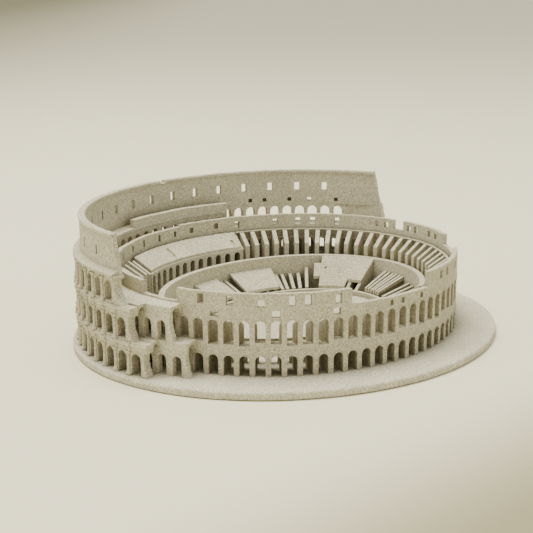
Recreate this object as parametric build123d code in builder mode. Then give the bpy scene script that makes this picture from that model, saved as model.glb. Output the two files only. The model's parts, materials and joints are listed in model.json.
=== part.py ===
"""Souvenir model of a ruined oval amphitheatre on its base plate, in millimetres.

Frame: origin at the middle of the plate's underside, +X along the long axis,
+Y towards the tall surviving outer wall, +Z up.  The oval is divided into equal
bays, counted anticlockwise from +X.  Each wall is a band of flat bays, one
chord per bay, and each bay can be pierced by an arch or a window.
"""
from build123d import *
from math import atan2, cos, hypot, pi, sin, sqrt, tau
import os

os.makedirs("parts", exist_ok=True)

# ---------------------------------------------------------------- driving sizes
BAYS = 76
PLATE = (97.0, 87.0)            # semi-axes of the base plate
PLATE_T = 3.3
PLATE_EDGE = 0.7                # rounding of the plate's edges

OUTER, OUTER_IN = (94.0, 84.2), (90.2, 80.4)        # tall outer wall, both faces
MIDDLE, MIDDLE_IN = (86.5, 76.7), (83.9, 74.1)      # wall between the two walks
FACADE, FACADE_IN = (78.8, 69.8), (75.4, 66.4)      # inner facade ring
CAVEA_EDGE = (68.0, 58.0)                           # inner ends of the radial walls

# the plain ring round the lower seats and the low wall round the arena share a
# centre a little off the outer walls' centre
ARENA_CENTRE = (2.0, -2.2)
PRECINCT, PRECINCT_IN = (64.5, 51.5, *ARENA_CENTRE), (62.0, 49.0, *ARENA_CENTRE)
PODIUM, PODIUM_IN = (48.0, 35.0, *ARENA_CENTRE), (46.0, 33.0, *ARENA_CENTRE)

# storey levels of the tall outer wall
GROUND_TOP, SECOND_TOP, THIRD_TOP, ATTIC_TOP = 16.6, 29.9, 41.2, 56.9
BAND_H, THIRD_BAND_H = 3.4, 1.2     # heights of the entablature courses
BAND_OUT = 1.2                  # how far they stand out from the wall
COPING_H = 1.3
COLUMN_R = 0.85                 # engaged half-column

# levels of the rings inside it
WALK_GROUND, WALK_SECOND, TERRACE = 16.9, 30.6, 39.6
ROOF_T = 1.2
FACADE_FLOOR, FACADE_HEAD, FACADE_TOP = 14.0, 26.2, 36.3
PRECINCT_TOP, PRECINCT_LOW = 20.3, 13.8
PODIUM_TOP = 7.5

ARCH_W = 3.9
OUTER_ARCH_W = 4.8


# ---------------------------------------------------------------- the oval's bays
def arc_table(ring, steps=1440):
    """Running arc length round an ellipse, from +X anticlockwise."""
    a, b = ring
    points = [(a * cos(tau * n / steps), b * sin(tau * n / steps)) for n in range(steps + 1)]
    lengths = [0.0]
    for (x0, y0), (x1, y1) in zip(points, points[1:]):
        lengths.append(lengths[-1] + hypot(x1 - x0, y1 - y0))
    return lengths


FACADE_ARC = arc_table(FACADE)


def bay_angle(bay):
    """Ellipse parameter of a bay on the facade ring, the bays being equally long."""
    target = (bay / BAYS % 1.0) * FACADE_ARC[-1]
    step = next(n for n, length in enumerate(FACADE_ARC) if length > target)
    before, after = FACADE_ARC[step - 1], FACADE_ARC[step]
    return tau * (step - 1 + (target - before) / (after - before)) / (len(FACADE_ARC) - 1)


def bay_line(bay):
    """A point of the facade ring and the outward direction of the bay there."""
    a, b = FACADE
    angle = bay_angle(bay)
    normal = Vector(cos(angle) / a, sin(angle) / b).normalized()
    return Vector(a * cos(angle), b * sin(angle)), normal


def reach(bay, ring):
    """Distance from the facade ring to another ellipse, outwards along the bay line."""
    point, normal = bay_line(bay)
    a, b = ring[:2]
    point = point - Vector(*ring[2:])
    qa = (normal.X / a) ** 2 + (normal.Y / b) ** 2
    qb = 2 * (point.X * normal.X / a**2 + point.Y * normal.Y / b**2)
    qc = (point.X / a) ** 2 + (point.Y / b) ** 2 - 1
    return (-qb + sqrt(qb**2 - 4 * qa * qc)) / (2 * qa)


def spot(bay, ring, out=0.0):
    """Where the bay line crosses an ellipse, moved outwards by out."""
    point, normal = bay_line(bay)
    place = point + normal * (reach(bay, ring) + out)
    return place.X, place.Y


def face_plane(bay, ring, level):
    """Upright plane on a wall's face, looking outwards, with its x along the wall."""
    x, y = spot(bay, ring)
    normal = bay_line(bay)[1]
    return Plane(origin=(x, y, level), x_dir=(-normal.Y, normal.X, 0), z_dir=(normal.X, normal.Y, 0))


def radial_plane(bay):
    """Upright plane along a bay line: x outwards from the facade ring, y up."""
    point, normal = bay_line(bay)
    return Plane(origin=(point.X, point.Y, 0), x_dir=(normal.X, normal.Y, 0), z_dir=(normal.Y, -normal.X, 0))


def edges_between(start, end):
    """A stretch's two ends and every bay boundary between them."""
    inner = [n + 0.5 for n in range(int(start) - 1, int(end) + 1) if start < n + 0.5 < end]
    return [start] + inner + [end]


# ---------------------------------------------------------------- repeated shapes
def band(start, end, outer, inner, out=0.0):
    """Plan of a wall between two ellipses, drawn into the current sketch."""
    edges = edges_between(start, end)
    outside = [spot(edge, outer, out) for edge in edges]
    inside = [spot(edge, inner) for edge in reversed(edges)]
    Polygon(*outside, *inside, align=None)


def closed_band(outer, inner):
    """Plan of a wall all the way round."""
    edges = [n + 0.5 for n in range(BAYS)]
    Polygon(*[spot(edge, outer) for edge in edges], align=None)
    Polygon(*[spot(edge, inner) for edge in edges], align=None, mode=Mode.SUBTRACT)


def arch(width, crown):
    """Round-headed opening standing on the sketch's origin."""
    spring = crown - width / 2
    with BuildLine() as outline:
        Polyline((-width / 2, spring), (-width / 2, 0), (width / 2, 0), (width / 2, spring))
        ThreePointArc((width / 2, spring), (0, crown), (-width / 2, spring))
    make_face(outline.edges())


def pierce_arches(bays, ring, level, width, crown, depth=9.0):
    """Cut one arch through the current wall in each of the bays."""
    with BuildSketch(*[face_plane(bay, ring, level) for bay in bays]) as openings:
        arch(width, crown)
    extrude(openings.sketch, amount=depth / 2, both=True, mode=Mode.SUBTRACT)


def pierce_windows(bays, ring, level, width, height, depth=9.0):
    """Cut one square-headed window, standing on level, through each of the bays."""
    with BuildSketch(*[face_plane(bay, ring, level) for bay in bays]) as openings:
        Rectangle(width, height, align=(Align.CENTER, Align.MIN))
    extrude(openings.sketch, amount=depth / 2, both=True, mode=Mode.SUBTRACT)


def half_columns(edges, ring, level, top):
    """Half-columns standing on a wall's face at the bay boundaries."""
    with BuildSketch(Plane.XY.offset(level)) as shafts:
        with Locations(*[spot(edge, ring) for edge in edges]):
            Circle(COLUMN_R)
    extrude(shafts.sketch, amount=top - level)


def finish(part, name):
    """Label a finished piece and write it out."""
    part.label = name
    export_step(part, f"parts/{name}.step")


# ---------------------------------------------------------------- base plate
with BuildPart() as base_plate:
    with BuildSketch():
        Ellipse(*PLATE)
    extrude(amount=PLATE_T)
    fillet(base_plate.edges(), PLATE_EDGE)
finish(base_plate.part, "base_plate")


# ---------------------------------------------------------------- tall outer wall
EAST_END = 3.5                  # bay boundary where every storey begins
WEST_ENDS = {"ground": 39.7, "second": 38.7, "third": 37.7}
# the broken piers run on past those ends, further at the foot than at the head
PIER_HEADS = {"ground": 39.9, "second": 38.9, "third": 37.9}
PIER_FEET = {"ground": 40.0, "second": 39.1, "third": 38.35}
STOREY_LEVELS = {"ground": (PLATE_T, GROUND_TOP - BAND_H), "second": (GROUND_TOP, SECOND_TOP - BAND_H),
                 "third": (SECOND_TOP, THIRD_TOP - THIRD_BAND_H)}
OUTER_CROWNS = {"ground": 9.0, "second": 9.0, "third": 8.9}     # arch heights above each storey's foot

# arches are counted from the east end: bay of the first, spacing in bays
FIRST_ARCH, ARCH_PITCH = 4.12, 1.005
CROWDED_FIRST, CROWDED_PITCH, CROWDED_COUNT = 6.05, 0.89, 10


def storey_bays(storey):
    """Bays of a storey's arches; the third storey starts blind, with a stretch set closer together."""
    count = int((WEST_ENDS[storey] - FIRST_ARCH) / ARCH_PITCH) + 1
    bays = [FIRST_ARCH + ARCH_PITCH * n for n in range(count)]
    if storey != "third":
        return bays
    crowded = [CROWDED_FIRST + CROWDED_PITCH * n for n in range(CROWDED_COUNT)]
    return crowded + [bay for bay in bays if bay > crowded[-1] + 1]


def outer_storey(storey):
    """One arcaded storey of the outer wall with its half-columns."""
    level, top = STOREY_LEVELS[storey]
    bays = storey_bays(storey)
    with BuildPart() as arcade_wall:
        with BuildSketch(Plane.XY.offset(level)):
            band(EAST_END, WEST_ENDS[storey], OUTER, OUTER_IN)
        extrude(amount=top - level)
        pierce_arches(bays, OUTER, level, OUTER_ARCH_W, OUTER_CROWNS[storey])
        half_columns([(east + west) / 2 for east, west in zip(bays, bays[1:])], OUTER, level, top)
    finish(arcade_wall.part, f"outer_wall_{storey}")


def entablature(name, top, height, west):
    """The projecting course that caps a storey."""
    with BuildPart() as course:
        with BuildSketch(Plane.XY.offset(top - height)):
            band(EAST_END, west, OUTER, OUTER_IN, out=BAND_OUT)
        extrude(amount=height)
    finish(course.part, name)


for storey in STOREY_LEVELS:
    outer_storey(storey)
entablature("entablature_ground", GROUND_TOP, BAND_H, PIER_HEADS["ground"])
entablature("entablature_second", SECOND_TOP, BAND_H, PIER_HEADS["second"])
entablature("entablature_third", THIRD_TOP, THIRD_BAND_H, PIER_HEADS["third"])

ATTIC_WINDOW_BAYS = [7 + 1.92 * n for n in range(16)]
ATTIC_SILL, ATTIC_WINDOW = 46.5, (2.4, 4.1)
ATTIC_SETBACK = 1.7             # of its outer face from the face of the storeys below
with BuildPart() as outer_attic:
    with BuildSketch(Plane.XY.offset(THIRD_TOP)):
        band(EAST_END, PIER_HEADS["third"], OUTER, OUTER_IN, out=-ATTIC_SETBACK)
    extrude(amount=ATTIC_TOP - COPING_H - THIRD_TOP)
    pierce_windows(ATTIC_WINDOW_BAYS, OUTER, ATTIC_SILL, *ATTIC_WINDOW)
finish(outer_attic.part, "outer_attic")

with BuildPart() as outer_coping:
    with BuildSketch(Plane.XY.offset(ATTIC_TOP - COPING_H)):
        band(EAST_END, PIER_HEADS["third"], OUTER, OUTER_IN, out=BAND_OUT / 2 - ATTIC_SETBACK)
    extrude(amount=COPING_H)
finish(outer_coping.part, "outer_coping")


def broken_pier(level, top, start, head, foot, ring, inner):
    """A wall's broken end, added to the current part: its foot runs further than its head."""
    with BuildSketch(Plane.XY.offset(level)) as foot_plan:
        band(start, foot, ring, inner)
    with BuildSketch(Plane.XY.offset(top)) as head_plan:
        band(start, head, ring, inner)
    loft([foot_plan.sketch, head_plan.sketch], ruled=True)


for storey, (level, top) in STOREY_LEVELS.items():
    with BuildPart() as west_pier:
        broken_pier(level, top, WEST_ENDS[storey], PIER_HEADS[storey], PIER_FEET[storey], OUTER, OUTER_IN)
    finish(west_pier.part, f"west_pier_{storey}")

# the sloping brick spur that props the east end
SPUR_FOOT = 1.9                 # bay where its toe stands
SPUR_TOP = ATTIC_TOP - 1.5
SPUR_HEAD = 1.2                 # its width at the top
spur_head = Vector(*spot(EAST_END, OUTER))
spur_along = Vector(*spot(SPUR_FOOT, OUTER)) - spur_head
spur_plane = Plane(origin=spur_head, x_dir=spur_along, z_dir=spur_along.cross(Vector(0, 0, 1)))
with BuildPart() as east_spur:
    with BuildSketch(Plane.XY.offset(PLATE_T)):
        band(SPUR_FOOT, EAST_END, OUTER, OUTER_IN)
    extrude(amount=SPUR_TOP - PLATE_T)
    toe, clear = spur_along.length, 5.0
    with BuildSketch(spur_plane):
        beyond = [(toe + clear, PLATE_T), (toe + clear, SPUR_TOP)]
        Polygon((SPUR_HEAD, SPUR_TOP), (toe, PLATE_T), *beyond, align=None)
    extrude(amount=2 * clear, both=True, mode=Mode.SUBTRACT)
finish(east_spur.part, "east_spur")


# ---------------------------------------------------------------- middle wall and walks
MIDDLE_ENDS = {"ground": 41.6, "second": 40.6}
MIDDLE_SHIFT = 0.2              # bays by which its arches stand west of the outer wall's
MIDDLE_HEAD, MIDDLE_FOOT = 0.2, 0.4     # bays past those ends, of the piers' tops and feet
TERRACE_BAYS = (14.5, 35.5)
GALLERY_BAYS = (14.5, 23.5)
GALLERY_TOP = 43.2


def arcade(name, level, top, start, end, ring, inner, crown, width=ARCH_W, shift=0.0):
    """A plain arcaded wall, one arch a bay."""
    with BuildPart() as wall:
        with BuildSketch(Plane.XY.offset(level)):
            band(start, end, ring, inner)
        extrude(amount=top - level)
        bays = [bay + shift for bay in range(int(start + 0.5), int(end + 0.5))]
        pierce_arches(bays, ring, level, width, crown)
    finish(wall.part, name)


def slab(name, level, thickness, start, end, outer, inner):
    """A flat curved slab, such as the roof of a walk."""
    with BuildPart() as flat:
        with BuildSketch(Plane.XY.offset(level)):
            band(start, end, outer, inner)
        extrude(amount=thickness)
    finish(flat.part, name)


MIDDLE_STOREYS = {"ground": (PLATE_T, WALK_GROUND - ROOF_T, 8.3),
                  "second": (WALK_GROUND, WALK_SECOND - ROOF_T, 8.2)}     # foot, head, arch height
TERRACE_CROWN = 5.9
for storey, (level, top, crown) in MIDDLE_STOREYS.items():
    name = f"middle_wall_{storey}"
    arcade(name, level, top, EAST_END, MIDDLE_ENDS[storey], MIDDLE, MIDDLE_IN, crown, shift=MIDDLE_SHIFT)
arcade("middle_wall_third", WALK_SECOND, TERRACE - ROOF_T, TERRACE_BAYS[0], TERRACE_BAYS[1] + MIDDLE_SHIFT,
       MIDDLE, MIDDLE_IN, TERRACE_CROWN, shift=MIDDLE_SHIFT)

with BuildPart() as middle_piers:
    for storey, (level, top, crown) in MIDDLE_STOREYS.items():
        end = MIDDLE_ENDS[storey]
        broken_pier(level, top, end, end + MIDDLE_HEAD, end + MIDDLE_FOOT, MIDDLE, MIDDLE_IN)
finish(middle_piers.part, "middle_piers")

west_ground = MIDDLE_ENDS["ground"] + MIDDLE_HEAD
west_second = MIDDLE_ENDS["second"] + MIDDLE_HEAD
slab("inner_walk_roof_ground", WALK_GROUND - ROOF_T, ROOF_T, EAST_END, west_ground, MIDDLE, FACADE)
slab("inner_walk_roof_second", WALK_SECOND - ROOF_T, ROOF_T, EAST_END, west_second, MIDDLE, FACADE)
slab("outer_walk_roof_ground", WALK_GROUND - ROOF_T, ROOF_T, EAST_END, PIER_FEET["ground"], OUTER_IN, MIDDLE)
slab("outer_walk_roof_second", WALK_SECOND - ROOF_T, ROOF_T, EAST_END, PIER_FEET["second"], OUTER_IN, MIDDLE)
slab("terrace_roof", TERRACE - ROOF_T, ROOF_T, *TERRACE_BAYS, OUTER_IN, MIDDLE_IN)
slab("gallery_wall", TERRACE, GALLERY_TOP - TERRACE, *GALLERY_BAYS, MIDDLE, MIDDLE_IN)


# ---------------------------------------------------------------- inner facade ring
QUARTERS = {"north": (8.5, 27.5), "west": (27.5, 46.5), "south": (46.5, 65.5), "east": (65.5, 84.5)}
SECOND_SILL = 1.6
FACADE_CROWN, FACADE_SECOND_CROWN = 8.3, 9.9

for side, (start, end) in QUARTERS.items():
    arcade(f"facade_ground_{side}", PLATE_T, FACADE_FLOOR, start, end, FACADE, FACADE_IN, FACADE_CROWN)
    with BuildPart() as second:
        with BuildSketch(Plane.XY.offset(FACADE_FLOOR)):
            band(start, end, FACADE, FACADE_IN)
        extrude(amount=FACADE_HEAD - FACADE_FLOOR)
        bays = range(int(start + 0.5), int(end + 0.5))
        pierce_arches(bays, FACADE, FACADE_FLOOR + SECOND_SILL, ARCH_W, FACADE_SECOND_CROWN)
    finish(second.part, f"facade_second_{side}")


WINDOW_W, LOW_WINDOW_W = 2.8, 3.4


def upper_wall(name, start, end, top, windows=(), sill=31.5, head=35.0, low_windows=()):
    """A stretch of the ruined upper wall, with its square windows."""
    with BuildPart() as wall:
        with BuildSketch(Plane.XY.offset(FACADE_HEAD)):
            band(start, end, FACADE, FACADE_IN)
        extrude(amount=top - FACADE_HEAD)
        if windows:
            pierce_windows(windows, FACADE, sill, WINDOW_W, head - sill)
        if low_windows:
            pierce_windows(low_windows, FACADE, 26.9, LOW_WINDOW_W, 2.7)
    finish(wall.part, name)


upper_wall("upper_wall_front", 40.5, 51.9, FACADE_TOP, windows=[42.2, 44.1, 46.05, 48, 49, 51],
           low_windows=[43.1, 47, 50.9])
upper_wall("upper_wall_right_low", 51.9, 58.7, 30.3, low_windows=[55, 56, 57.9])
upper_wall("upper_wall_right_high", 58.7, 66.5, 36.5, windows=[60.5, 61.6, 63.8, 65.2])
upper_wall("upper_wall_back_right", 70.2, 75.7, 37.4, windows=[71.6, 72.6, 74.3, 75.1], sill=32.8)
upper_wall("upper_wall_back", 0.7, 19.5, 37.2, windows=[1.4, 2.2, 5.75, 7.75, 8.95, 10.85, 14.1, 16, 18.4],
           sill=32.0)
upper_wall("upper_wall_left", 19.5, 37.5, 36.5, windows=[20.6, 22.2, 23.6, 25.3, 27.6, 30.1, 33], head=34.5)

LOW_STRETCHES = [(37.5, 40.5, 30.6), (66.5, 70.2, 32.6), (75.7, 76.7, 32.8)]    # first bay, last bay, top
with BuildPart() as upper_wall_low_stretches:
    for start, end, top in LOW_STRETCHES:
        with BuildSketch(Plane.XY.offset(FACADE_HEAD)) as stretch:
            band(start, end, FACADE, FACADE_IN)
        extrude(stretch.sketch, amount=top - FACADE_HEAD)
finish(upper_wall_low_stretches.part, "upper_wall_low_stretches")


# ---------------------------------------------------------------- radial walls and seats
FIN_T = 2.0
SEAM = 0.12                     # gap where a piece meets a wall's flat bays
FIN_HIGH, FIN_LOW = 30.2, 24.7
CAVEA_FLOOR_T = 1.2
SEAT_T = 1.0
SEAT_BAYS = (14.5, 26.2)


def boundaries(first, last):
    """The bay boundaries, where the piers stand, from one bay up to another."""
    return [bay + 0.5 for bay in range(first, last)]


def radial_walls(name, bays, high, low, lower_by=0.0, foot=FACADE_FLOOR):
    """Upright walls from the facade inwards, with raking tops."""
    with BuildPart() as walls:
        for bay in bays:
            outer = reach(bay, FACADE_IN) - SEAM
            inner = reach(bay, CAVEA_EDGE)
            with BuildSketch(radial_plane(bay)):
                rake = [(outer, high - lower_by), (inner, low - lower_by)]
                Polygon((inner, foot), (outer, foot), *rake, align=None)
            extrude(amount=FIN_T / 2, both=True)
    finish(walls.part, name)


def raking_slab(start, end, outer, inner, high, low, thickness):
    """A sloping slab between two ellipses, lofted through sections at the bay boundaries."""
    with BuildPart() as rake:
        for edge in edges_between(start, end):
            far, near = reach(edge, outer) - SEAM, reach(edge, inner)
            with BuildSketch(radial_plane(edge)):
                underside = [(near, low - thickness), (far, high - thickness)]
                Polygon(*underside, (far, high), (near, low), align=None)
        loft(ruled=True)
    return rake


with BuildPart() as cavea_floor:
    with BuildSketch(Plane.XY.offset(FACADE_FLOOR - CAVEA_FLOOR_T)):
        closed_band(FACADE_IN, CAVEA_EDGE)
    extrude(amount=CAVEA_FLOOR_T)
finish(cavea_floor.part, "cavea_floor")

floor_underside = FACADE_FLOOR - CAVEA_FLOOR_T
radial_walls("radial_walls_ground", boundaries(1, 77), floor_underside, floor_underside, foot=PLATE_T)
north_bays = boundaries(1, 5) + [5.41 + 0.938 * n for n in range(10)]    # the last ten stand closer together
radial_walls("radial_walls_north", north_bays, FIN_HIGH, FIN_LOW)
radial_walls("radial_walls_seats", boundaries(14, 27), FIN_HIGH, FIN_LOW, lower_by=SEAT_T + SEAM)
radial_walls("radial_walls_west", boundaries(27, 41), FIN_HIGH, FIN_LOW)
radial_walls("radial_walls_south", boundaries(41, 58), FIN_LOW, FIN_LOW - 4.0)
radial_walls("radial_walls_east", boundaries(58, 77), FIN_HIGH, FIN_LOW)

seats = raking_slab(*SEAT_BAYS, FACADE_IN, CAVEA_EDGE, FIN_HIGH, FIN_LOW, SEAT_T)
finish(seats.part, "seat_slab")


# ---------------------------------------------------------------- ring round the arena
PRECINCT_LOW_BAYS = (43.5, 51.5)

with BuildPart() as precinct_wall:
    with BuildSketch(Plane.XY.offset(PLATE_T)):
        band(PRECINCT_LOW_BAYS[1], PRECINCT_LOW_BAYS[0] + BAYS, PRECINCT, PRECINCT_IN)
    extrude(amount=PRECINCT_TOP - PLATE_T)
finish(precinct_wall.part, "precinct_wall")

arcade("precinct_gate", PLATE_T, PRECINCT_LOW, *PRECINCT_LOW_BAYS, PRECINCT, PRECINCT_IN, 5.0, 2.6)

with BuildPart() as podium_wall:
    with BuildSketch(Plane.XY.offset(PLATE_T)):
        closed_band(PODIUM, PODIUM_IN)
    extrude(amount=PODIUM_TOP - PLATE_T)
finish(podium_wall.part, "podium_wall")

# the four stretches of raking seats that survive inside the ring
WEDGE_T = 1.2
WEDGES = {"wedge_seats_west": (19.0, 22.4, 14.5, 9.2), "wedge_seats_north": (12.2, 17.2, 15.4, 9.5),
          "wedge_seats_large": (0.75, 6.5, 20.0, 8.7), "wedge_seats_east": (72.7, 75.8, 15.5, 9.5)}
for name, (start, end, high, low) in WEDGES.items():
    wedge = raking_slab(start, end, PRECINCT_IN, PODIUM, high, low, WEDGE_T)
    finish(wedge.part, name)


STUB_T = 1.5
STUB_WALLS = [([17.8, 18.4], 12.6, 8.0), ([8.3], 14.5, 8.2), ([9.2, 10.1, 11.0, 11.7], 12.0, 8.0),
              ([67.6, 68.6, 69.6, 70.6, 71.6], 13.5, 8.5)]
UNDER_SEATS = {"wedge_seats_west": [19.5, 20.7, 21.9], "wedge_seats_north": [12.7, 13.9, 15.3, 16.7],
               "wedge_seats_large": [1.2, 2.6, 4.0, 5.2, 6.2], "wedge_seats_east": [73.1, 73.9, 74.7, 75.4]}


def stub(bay, high, low):
    """One low radial wall between the ring and the podium, added to the current part."""
    far, near = reach(bay, PRECINCT_IN) - 2 * SEAM, reach(bay, PODIUM) + 2 * SEAM
    with BuildSketch(radial_plane(bay)) as side:
        Polygon((near, PLATE_T), (far, PLATE_T), (far, high), (near, low), align=None)
    extrude(side.sketch, amount=STUB_T / 2, both=True)


with BuildPart() as stub_walls:
    for bays, high, low in STUB_WALLS:
        for bay in bays:
            stub(bay, high, low)
finish(stub_walls.part, "stub_walls")

with BuildPart() as wedge_supports:
    for name, bays in UNDER_SEATS.items():
        high, low = WEDGES[name][2:]
        for bay in bays:
            stub(bay, high - WEDGE_T - SEAM, low - WEDGE_T - SEAM)
finish(wedge_supports.part, "wedge_supports")

# ---------------------------------------------------------------- arena
ARENA_FLOOR_TOP = 5.4
with BuildPart() as arena_floor:
    with BuildSketch(Plane.XY.offset(PLATE_T)):
        Polygon(*[spot(bay + 0.5, PODIUM_IN) for bay in range(BAYS)], align=None)
    extrude(amount=ARENA_FLOOR_TOP - PLATE_T)
finish(arena_floor.part, "arena_floor")
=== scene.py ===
"""Looks of the ruined amphitheatre souvenir: worn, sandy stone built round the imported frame.

The oval is counted in bays, anticlockwise from +X, as the frame's walls are.  Walls
are drawn as flat patterns of (bay, height in millimetres) and then wrapped round the
oval between two ellipses.  Lengths of the model are in millimetres and become metres in
place() and wherever they are multiplied by MM; floor, lamp and camera are in metres.
"""
import json
from bisect import bisect_right
from collections import namedtuple
from functools import lru_cache
from math import cos, floor, hypot, pi, radians, sin, sqrt, tau

import bmesh
import bpy
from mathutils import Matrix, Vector, noise


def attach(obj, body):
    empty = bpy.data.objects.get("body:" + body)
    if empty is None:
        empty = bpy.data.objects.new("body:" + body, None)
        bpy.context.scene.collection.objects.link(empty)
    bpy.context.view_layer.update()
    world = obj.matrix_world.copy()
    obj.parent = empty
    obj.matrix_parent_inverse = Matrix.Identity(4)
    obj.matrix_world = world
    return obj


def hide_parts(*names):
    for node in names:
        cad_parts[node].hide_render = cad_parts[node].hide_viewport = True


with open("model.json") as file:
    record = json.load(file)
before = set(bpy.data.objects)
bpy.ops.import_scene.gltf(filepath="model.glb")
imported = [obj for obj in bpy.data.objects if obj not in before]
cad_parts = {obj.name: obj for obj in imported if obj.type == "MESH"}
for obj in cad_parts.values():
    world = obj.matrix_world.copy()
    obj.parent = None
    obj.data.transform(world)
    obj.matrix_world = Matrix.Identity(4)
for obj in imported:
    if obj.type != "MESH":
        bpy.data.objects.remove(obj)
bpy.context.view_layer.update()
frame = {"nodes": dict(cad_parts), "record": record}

MM = 0.001

# ---------------------------------------------------------------- driving sizes, as in the frame
BAYS = 76
PLATE = (97.0, 87.0)
OUTER, OUTER_IN = (94.0, 84.2), (90.2, 80.4)
MIDDLE, MIDDLE_IN = (86.5, 76.7), (83.9, 74.1)
FACADE, FACADE_IN = (78.8, 69.8), (75.4, 66.4)
CAVEA_EDGE = (68.0, 58.0)
ARENA_CENTRE = (2.0, -2.2)
PRECINCT_IN = (62.0, 49.0, *ARENA_CENTRE)
PODIUM = (48.0, 35.0, *ARENA_CENTRE)

PLATE_T = 3.3
GROUND_TOP, SECOND_TOP, THIRD_TOP, ATTIC_TOP = 16.6, 29.9, 41.2, 56.9
BAND_H, THIRD_BAND_H, COPING_H, ROOF_T = 3.4, 1.2, 1.3, 1.2
WALK_GROUND, WALK_SECOND, TERRACE = 16.9, 30.6, 39.6
FACADE_FLOOR, FACADE_HEAD = 14.0, 26.2
GALLERY_TOP = 43.2

EAST_END = 3.5
WEST_ENDS = {"ground": 39.7, "second": 38.7, "third": 37.7}
PIER_HEADS = {"ground": 39.9, "second": 38.9, "third": 37.9}
PIER_FEET = {"ground": 40.0, "second": 39.1, "third": 38.35}
FIRST_ARCH, ARCH_PITCH = 4.12, 1.005      # bay of the first arch from the east, and their spacing
CROWDED_FIRST, CROWDED_PITCH, CROWDED_COUNT = 6.05, 0.89, 10
MIDDLE_ENDS = {"ground": 41.6, "second": 40.6}
MIDDLE_SHIFT = 0.2
TERRACE_BAYS, GALLERY_BAYS = (14.5, 35.5), (14.5, 23.5)
ATTIC_SETBACK = 1.7             # of the attic's outer face from the storeys below
RUIN_THINNING = 1.4             # the facade ring's top is this much thinner than its foot

ARCH_STEPS = 10                 # straight edges across one arch
EDGE_WEAR = 0.10                # rounding of every stone edge


# ---------------------------------------------------------------- camera
AIM = Vector((0, 0, 15 * MM))
DISTANCE = 0.5375
AZIMUTH, ELEVATION = radians(-45.68), radians(15.33)
LENS, SENSOR = 82.6, 36.0
SHIFT = (-0.0405, 0.0559)


def add_camera():
    """Looks down a little on the model from the south-west, its broken side."""
    back = Vector((sin(AZIMUTH) * cos(ELEVATION), -cos(AZIMUTH) * cos(ELEVATION), sin(ELEVATION)))
    data = bpy.data.cameras.new("camera")
    data.lens, data.sensor_width = LENS, SENSOR
    data.shift_x, data.shift_y = SHIFT
    data.clip_start, data.clip_end = 0.01, 50
    camera = bpy.data.objects.new("camera", data)
    camera.location = AIM + back * DISTANCE
    camera.rotation_euler = back.to_track_quat("Z", "Y").to_euler()
    bpy.context.scene.collection.objects.link(camera)
    bpy.context.scene.camera = camera


# ---------------------------------------------------------------- floor and light
FLOOR_COLOUR = (0.855, 0.81, 0.595, 1)
# painted shade, mixed into the paper far off to the left and in a patch near by to the right
SHADED_COLOUR = (0.34, 0.31, 0.18, 1)
LEFT = (-cos(AZIMUTH), -sin(AZIMUTH))       # the view's left, on the floor
AWAY = (-sin(AZIMUTH), cos(AZIMUTH))        # and the way that the camera looks
FLOOR_HALF, FLOOR_DROP = 9.0, 0.0001
# metres out from the model's middle, where the paper's painted shade (or its fading) starts and ends
LEFT_RISE = (0.15, 1.1)
NEAR_RISE, NEAR_FADE = (0.10, 0.19), (0.20, 0.5)


def shade_paper(material, shader):
    """Painted shade on the paper: darker far off to the left, and in a patch near by to the right."""
    nodes, links = material.node_tree.nodes, material.node_tree.links
    place = nodes.new("ShaderNodeTexCoord")

    def ramp(direction, start, end):
        along = nodes.new("ShaderNodeVectorMath")
        along.operation = "DOT_PRODUCT"
        along.inputs[1].default_value = (*direction, 0)
        links.new(place.outputs["Object"], along.inputs[0])
        rise = nodes.new("ShaderNodeMapRange")
        rise.interpolation_type = "SMOOTHSTEP"
        rise.inputs["From Min"].default_value = start
        rise.inputs["From Max"].default_value = end
        links.new(along.outputs["Value"], rise.inputs["Value"])
        return rise.outputs["Result"]

    def combine(operation, first, second):
        both = nodes.new("ShaderNodeMath")
        both.operation = operation
        links.new(first, both.inputs[0])
        links.new(second, both.inputs[1])
        return both.outputs[0]

    near_right = [-(a + b) / sqrt(2) for a, b in zip(LEFT, AWAY)]
    patch = combine("SUBTRACT", ramp(near_right, *NEAR_RISE), ramp(near_right, *NEAR_FADE))
    total = combine("MAXIMUM", ramp(LEFT, *LEFT_RISE), patch)
    paper = nodes.new("ShaderNodeMix")
    paper.data_type = "RGBA"
    paper.inputs[6].default_value = FLOOR_COLOUR
    paper.inputs[7].default_value = SHADED_COLOUR
    links.new(total, paper.inputs["Factor"])
    links.new(paper.outputs[2], shader.inputs["Base Color"])


def add_floor():
    corners = [(x * FLOOR_HALF, y * FLOOR_HALF, 0) for x, y in ((-1, -1), (1, -1), (1, 1), (-1, 1))]
    mesh = bpy.data.meshes.new("floor")
    mesh.from_pydata(corners, [], [(0, 1, 2, 3)])
    piece = bpy.data.objects.new("floor", mesh)
    piece.location.z = -FLOOR_DROP
    bpy.context.scene.collection.objects.link(piece)
    material = bpy.data.materials.new("floor_paper")
    material.use_nodes = True
    shader = material.node_tree.nodes["Principled BSDF"]
    shader.inputs["Roughness"].default_value = 0.9
    shader.inputs["Specular IOR Level"].default_value = 0.1
    shade_paper(material, shader)
    mesh.materials.append(material)


def area_light(name, place, aim, size, power, colour):
    data = bpy.data.lights.new(name, "AREA")
    data.shape = "RECTANGLE"
    data.size, data.size_y = size
    data.energy = power
    data.color = colour
    light = bpy.data.objects.new(name, data)
    light.location = place
    light.rotation_euler = (Vector(place) - Vector(aim)).to_track_quat("Z", "Y").to_euler()
    bpy.context.scene.collection.objects.link(light)


SKY_COLOUR, SKY_STRENGTH = (1.0, 0.98, 0.90, 1), 1.0
LAMP_PLACE, LAMP_AIM, LAMP_SIZE = (-0.12, 0.28, 1.3), (0, 0, 0), (0.8, 0.8)
LAMP_POWER, LAMP_COLOUR = 27.0, (1.0, 0.97, 0.88)


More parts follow.
